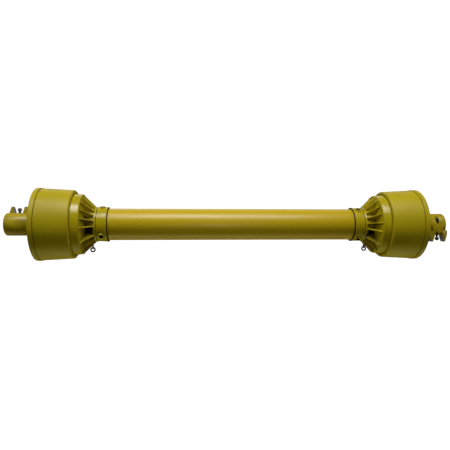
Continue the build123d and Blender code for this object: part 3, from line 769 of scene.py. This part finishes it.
# %% Build the cones
def ribbed_cone(name, side):
    """One closed skin: the grid above, with the two windows' cells dropped and walled.

    Point = foot + w * (crest - foot), w the share of the rib's height, turned to rib
    angle + asin(distance / radius). Between ribs the points stay at the foot.
    """
    base, crest, first_rib_row, neck_x = cone_grid(name)
    ribs, gaps = rib_angles(WINDOW_DEGREES[name])
    span = crest - base
    height = np.linalg.norm(span, axis=1)
    low = np.minimum(RIB_FILLET, height / 2)
    high = np.minimum(RIB_EDGE, height / 2)
    safe = np.maximum(height, 1e-6)
    columns, windows = [], []
    for angle, gap in zip(ribs, gaps):
        for distance, kind, amount in rib_columns():
            climb = low * amount if kind == 0 else height - high * amount
            point = base + span * (climb / safe)[:, None]
            columns.append((point, angle + np.degrees(np.arcsin(distance / point[:, 1]))))
        foot = columns[-1][1]
        far_foot = angle + gap - (foot - angle)
        at_window = gap > RIB_STEP_DEGREES
        cells = WINDOW_CELLS if at_window else GAP_CELLS
        if at_window:
            windows.append((len(columns) - 1, len(columns) - 1 + cells))
        for share in np.arange(1, cells) / cells:
            columns.append((base, foot * (1 - share) + far_foot * share))
    profile = np.stack([c[0] for c in columns], 1)
    angle = np.stack([c[1] for c in columns], 1)
    grid = profile[..., 1:] * around(angle)
    grid[..., 0] = side * profile[..., 0]
    rows, width = angle.shape
    index = np.arange(rows * width).reshape(rows, width)
    down = np.vstack([index, index[:1]])
    both = np.hstack([down, down[:, :1]])
    quads = np.stack([both[:-1, :-1], both[1:, :-1], both[1:, 1:], both[:-1, 1:]], -1)
    keep = np.ones((rows, width), bool)
    outer_rows = [first_rib_row + int(np.argmin(abs(neck_x - x))) for x in WINDOW_X]
    on_bore = abs(base[:, 1] - NECK_BORE_R) < SAME_MM
    inner_rows = [int(np.flatnonzero(on_bore & (abs(base[:, 0] - x) < SAME_MM))[0]) for x in WINDOW_X]
    walls = []
    for start, end in windows:
        turn = np.arange(start, end + 1) % width
        keep[outer_rows[0] : outer_rows[1], turn[:-1]] = False
        keep[inner_rows[1] : inner_rows[0], turn[:-1]] = False
        outer = np.arange(outer_rows[0], outer_rows[1] + 1)
        inner = np.arange(inner_rows[0], inner_rows[1] - 1, -1)
        for out_line, in_line in (
            (index[outer[0], turn], index[inner[0], turn]),
            (index[outer[-1], turn], index[inner[-1], turn]),
            (index[outer, turn[0]], index[inner, turn[0]]),
            (index[outer, turn[-1]], index[inner, turn[-1]]),
        ):
            walls.append(np.stack([out_line[:-1], out_line[1:], in_line[1:], in_line[:-1]], 1))
    faces = np.vstack([quads[keep], *walls])
    vertices = grid.reshape(-1, 3) * MM
    return closed_skin(mesh_object(f"{name}_cone_skin", vertices, faces), merge=True)


NECK_RING = [(297.5, 35.6, 0.1), (297.5, 38.1, 0.5), (301.4, 38.6, 0.5), (301.7, 35.6, 0.1)]
for name, side in SIDES.items():
    neck_ring = turned("ring", side, NECK_RING, count=192, steps=4)
    cone = gathered(f"{name}_cone_skin", [ribbed_cone(name, side), neck_ring])
    fit_out(crease(cone, 50), f"{name}_guard", "guard_plastic", RIBBED_PLASTIC, f"{name}_cone")
    print(cone.name, len(cone.data.polygons), "faces")

# %% [markdown]
# ## Eyelets
# Each cone carries a small eyelet below its neck for the retaining chain. It is a plate
# across the shaft with a round end, and its edges and its hole are eased.

# %% Eyelets
LUG_X, LUG_HALF_THICK, LUG_HALF_WIDE, EYE_AT, EYE_R = 308.0, 1.1, 4.0, 51.5, 2.4
LUG_ROOT_R = 34.8
LUG_EASE = 0.45
LUG_ANGLE = {"left": -85.25, "right": -93.75}


def eyelet(name, side, angle):
    """Plate with a hole: rows go hole, face, edge, face; columns go round the hole.

    From the eye's centre the edge is LUG_HALF_WIDE away on the round end. Along the two
    straight sides it is LUG_HALF_WIDE / sin t, up to the root, which is at depth / cos t.
    """
    turn = np.arange(96) * math.pi / 48
    outwards = around(angle)
    across = np.cross([1.0, 0.0, 0.0], outwards)
    depth = EYE_AT - LUG_ROOT_R
    straight = LUG_HALF_WIDE / np.maximum(abs(np.sin(turn)), 1e-6)
    root = depth / np.maximum(-np.cos(turn), 1e-6)
    edge = np.where(np.cos(turn) > 0, LUG_HALF_WIDE, np.minimum(straight, root))
    thin, thick, ease = LUG_HALF_THICK - LUG_EASE, LUG_HALF_THICK, LUG_EASE
    rows = [(-thin, 0, 0), (thin, 0, 0), (thick, 0, ease), (thick, 1, -ease)]
    rows += [(thin, 1, 0), (-thin, 1, 0), (-thick, 1, -ease), (-thick, 0, ease)]
    level, share, shift = np.array(rows, float).T[..., None]
    radius = EYE_R + share * (edge - EYE_R) + shift
    grid = radius[..., None] * (np.cos(turn)[:, None] * outwards + np.sin(turn)[:, None] * across)
    grid += outwards * EYE_AT
    grid[..., 0] += side * LUG_X + level
    return closed_skin(solid_from_grid(name, grid * MM))


for name, side in SIDES.items():
    lug = eyelet(f"{name}_eyelet", side, LUG_ANGLE[name])
    fit_out(crease(lug), f"{name}_guard", "guard_plastic", GLOSSY_PLASTIC, f"{name}_cone")
    print(lug.name, "hole", 2 * EYE_R, "mm wide")

# %% [markdown]
# ## Collars and screws
# A collar with a black wiper lip clamps each cone's sleeve and tube. Three round pads stand
# a little proud of it, each with a recess for a self-tapping screw.

# %% Collars
SCREW_X = 286.5
FIRST_SCREW = {"left": -42.7, "right": 60.0}
COLLAR_SLEEVE = {"left": 35.0, "right": 34.6}
COLLAR_MOUTH = {"left": 35.0, "right": 36.2}
PAD = [
    (36, 0),
    (36, 7.5),
    (39.0, 7.45),
    (39.3, 7.3),
    (39.4, 7.0),
    (39.4, 5.2),
    (39.3, 4.95),
    (39.0, 4.85),
    (37.65, 4.7),
    (37.65, 0),
]
SCREW = [
    (31.2, 0),
    (32.6, 1.5),
    (33.4, 1.8),
    (37.5, 1.8),
    (37.7, 3.4),
    (37.9, 3.6),
    (38.3, 3.5),
    (38.7, 3.0),
    (38.95, 2.2),
    (38.95, 1.8),
    (38.85, 1.65),
    (37.9, 1.45),
    (37.75, 0),
]


def collar_section(name):
    """Outline of a collar: a drafted ring; the right one has a wider mouth."""
    sleeve, mouth = COLLAR_SLEEVE[name], COLLAR_MOUTH[name]
    outline = [(274.6, mouth, 0.1), (274.6, 38.6, 0.5), (277.0, 38.1, 0.8)]
    outline += [(296.5, 37.3, 0.6), (296.5, sleeve, 0.3)]
    if name == "right":
        outline += [(281.0, sleeve, 0.2), (281.0, mouth, 0.3)]
    return outline


for name, side in SIDES.items():
    mouth = COLLAR_MOUTH[name]
    wiper = [(273.5, mouth, 0.2), (273.5, 38.3, 0.4), (274.5, 38.4, 0.2), (274.5, mouth, 0.1)]
    lip = turned(f"{name}_wiper_lip", side, wiper, count=192, steps=3)
    fit_out(crease(lip), f"{name}_guard", "seal_rubber", RUBBER, f"{name}_collar")
    ring = turned("collar", side, collar_section(name), count=192, steps=4)
    angles = FIRST_SCREW[name] + 120.0 * np.arange(3)
    base = (side * SCREW_X, 0.0, 0.0)
    pads = [spun("pad", PAD, base, around(angle), 48) for angle in angles]
    screws = [spun("screw", SCREW, base, around(angle), 32) for angle in angles]
    collar = gathered(f"{name}_collar_skin", [ring, *pads])
    fit_out(crease(collar), f"{name}_guard", "guard_plastic", GLOSSY_PLASTIC, f"{name}_collar")
    set_of_screws = gathered(f"{name}_screw_set", screws)
    fit_out(crease(set_of_screws), f"{name}_guard", "black_steel", OXIDE, f"{name}_collar_screws")
    print(collar.name, "with", len(pads), "pads and", len(screws), "screws")

# %% [markdown]
# ## Chain rings
# Only the first ring of each retaining chain is here. It is bent from wire, and its butt
# weld stands a little proud.

# %% Chain rings
RING_R, WIRE_R, WELD_RISE = 4.45, 1.6, 0.08


def chain_ring(name, side, angle):
    """Torus in the plane of X and the outward line; the weld is a bump on its wire radius."""
    turn = np.arange(64)[:, None] * math.pi / 32
    wrap = np.arange(20)[None] * math.pi / 10
    outwards = around(angle)
    across = np.cross([1.0, 0.0, 0.0], outwards)
    wire = WIRE_R + WELD_RISE * np.exp(-(((turn - math.pi * 0.72) / 0.16) ** 2))
    radius = (RING_R + wire * np.cos(wrap))[..., None]
    ahead = np.cos(turn)[..., None] * outwards + np.sin(turn)[..., None] * np.array([1.0, 0.0, 0.0])
    grid = radius * ahead + (wire * np.sin(wrap))[..., None] * across
    grid += outwards * (EYE_AT + RING_R)
    grid[..., 0] += side * LUG_X
    return closed_skin(solid_from_grid(name, grid * MM))


for name, side in SIDES.items():
    ring = chain_ring(f"{name}_wire_ring", side, LUG_ANGLE[name])
    fit_out(ring, f"{name}_chain", "chain_steel", CHAIN, f"{name}_chain_ring")
    print(ring.name, "wire", 2 * WIRE_R, "mm thick")

# %% [markdown]
# ## Yokes
# A forging has no knife edges. The yokes keep their CAD form; a merged copy of each gets
# its edges rounded.

# %% Yokes
YOKE_EDGE = 0.9
SOFT_DEGREES = 38
JOIN_M, FLAT_DEGREES = 2e-6, 0.4


def eased_copy(node_name, edge_mm):
    """Copy of a CAD mesh, its points joined and flat faces merged, with rounded edges."""
    mesh = frame["nodes"][node_name].data.copy()
    form = bmesh.new()
    form.from_mesh(mesh)
    bmesh.ops.remove_doubles(form, verts=form.verts, dist=JOIN_M)
    flat = math.radians(FLAT_DEGREES)
    bmesh.ops.dissolve_limit(form, angle_limit=flat, verts=form.verts, edges=form.edges)
    bmesh.ops.recalc_face_normals(form, faces=form.faces)
    for face in form.faces:
        face.smooth = True
    form.to_mesh(mesh)
    form.free()
    piece = bpy.data.objects.new(f"{node_name}_forged", mesh)
    bpy.context.scene.collection.objects.link(piece)
    ease = piece.modifiers.new("ease", "BEVEL")
    ease.width = edge_mm * MM
    ease.segments = 3
    ease.limit_method = "ANGLE"
    ease.angle_limit = math.radians(SOFT_DEGREES)
    ease.harden_normals = True
    return piece


for name in SIDES:
    for part, body in (("inner_yoke", "drive"), ("outer_yoke", "end")):
        yoke = eased_copy(f"{name}_{part}", YOKE_EDGE)
        fit_out(yoke, f"{name}_{body}", "yoke_paint", ENAMEL, f"{name}_{part}")
        print(yoke.name, "eased by", YOKE_EDGE, "mm")

# %% [markdown]
# ## Push pins and springs
# A push pin locks each yoke to its splined shaft. Its ball head stands on a coil spring.

# %% Pins
PIN_X, PIN_Y, PIN_TRAVEL = 472.5, 20.0, 8.0
PIN_BODY = [(-14, 0), (-14, 4.1), (-13.7, 4.7), (-13.0, 4.95), (-2.2, 4.95), (-1.6, 4.6), (-1.4, 4.0)]
PIN_BODY += [(-1.4, 2.5), (-1.1, 2.2), (28.4, 2.2), (28.6, 0)]
HEAD_R, HEAD_AT = 4.6, 32.2
SPRING_START, SPRING_TOP, COIL_R, COIL_WIRE, COIL_TURNS = 6.0, 27.6, 2.875, 0.475, 9


def ball_outline(steps=20):
    """Half circle of radius HEAD_R about HEAD_AT, from pole to pole."""
    sweep = np.linspace(-math.pi / 2, math.pi / 2, steps)
    return np.stack([HEAD_AT + HEAD_R * np.sin(sweep), HEAD_R * np.cos(sweep).clip(0)], 1)


def coil(name, base, axis):
    """Compression spring with closed ends: height follows the turn smoothly at both ends.

    Centre line: base + h * axis + COIL_R * (u cos t + v sin t); h rises by one wire in the
    first and last turn and evenly between them.
    """
    along = np.linspace(0, COIL_TURNS, COIL_TURNS * 24 + 1)
    dead = 2 * COIL_WIRE
    low, high = SPRING_START + COIL_WIRE, SPRING_TOP - COIL_WIRE
    height = np.interp(along, [0, 1, COIL_TURNS - 1, COIL_TURNS], [low, low + dead, high - dead, high])
    axis = np.array(axis, float)
    turn = along[:, None] * 2 * math.pi
    outwards = np.cos(turn) * np.array([1.0, 0.0, 0.0]) + np.sin(turn) * np.cross(axis, [1.0, 0.0, 0.0])
    centre = np.array(base, float) + height[:, None] * axis + COIL_R * outwards
    wrap = np.arange(10) * math.pi / 5
    wire = COIL_WIRE * (np.cos(wrap)[:, None, None] * outwards + np.sin(wrap)[:, None, None] * axis)
    grid = (centre[None] + wire).transpose(1, 0, 2)
    grid = np.concatenate([centre[:1, None].repeat(10, 1), grid, centre[-1:, None].repeat(10, 1)])
    spring = solid_from_grid(name, grid * MM, close_rows=False)
    return closed_skin(spring, merge=True)


for name, side in SIDES.items():
    base = (side * PIN_X, -side * PIN_Y, 0.0)
    axis = (0.0, 0.0, -side)
    pin = spun(f"{name}_turned_pin", PIN_BODY, base, axis, 48)
    fit_out(crease(pin), f"{name}_lock", "pin_steel", PIN, f"{name}_push_pin")
    head = spun(f"{name}_ball_head", ball_outline(), base, axis, 48)
    fit_out(head, f"{name}_lock", "pin_steel", PIN, f"{name}_pin_head")
    spring = coil(f"{name}_coil", base, axis)
    fit_out(spring, f"{name}_end", "black_steel", OXIDE, f"{name}_pin_spring")
    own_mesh(spring)
